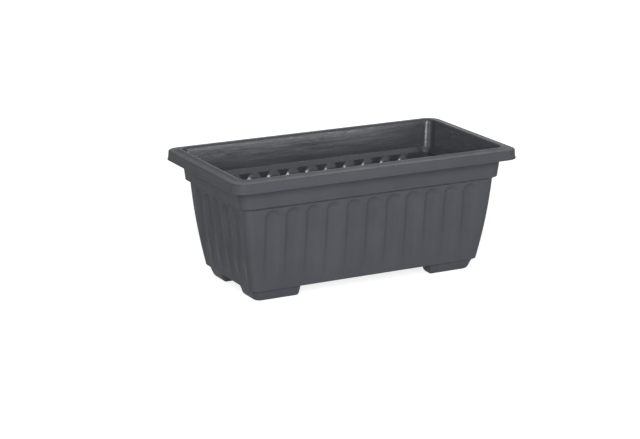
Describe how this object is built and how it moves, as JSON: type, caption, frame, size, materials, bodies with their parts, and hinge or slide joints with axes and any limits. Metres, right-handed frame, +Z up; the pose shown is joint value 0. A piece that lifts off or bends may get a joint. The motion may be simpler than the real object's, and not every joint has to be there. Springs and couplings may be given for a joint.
{
  "type": "window box planter",
  "caption": "Rectangular window box planter with tapered fluted walls, a wide down-turned rim, corner feet and lift-out plugs in its floor drains.",
  "frame": {"origin": "on the ground, under the middle of the box", "axes": "+X along the length, +Y towards the back wall, +Z up out of the mouth"},
  "size_m": [0.34, 0.185, 0.14],
  "materials": {
    "box_plastic": "satin anthracite, smoother inside than outside",
    "plug_plastic": "matte black, slightly soft"
  },
  "bodies": {
    "box": {"planter_box": "box_plastic"},
    "plug_1": {"drain_plug_1": "plug_plastic"},
    "plug_2": {"drain_plug_2": "plug_plastic"},
    "plug_3": {"drain_plug_3": "plug_plastic"},
    "plug_4": {"drain_plug_4": "plug_plastic"}
  },
  "joints": [
    {"name": "plug_1_lift", "type": "slide", "parent": "box", "child": "plug_1", "axis": [0, 0, 1], "range_m": [0, 0.03]},
    {"name": "plug_2_lift", "type": "slide", "parent": "box", "child": "plug_2", "axis": [0, 0, 1], "range_m": [0, 0.03]},
    {"name": "plug_3_lift", "type": "slide", "parent": "box", "child": "plug_3", "axis": [0, 0, 1], "range_m": [0, 0.03]},
    {"name": "plug_4_lift", "type": "slide", "parent": "box", "child": "plug_4", "axis": [0, 0, 1], "range_m": [0, 0.03]}
  ]
}
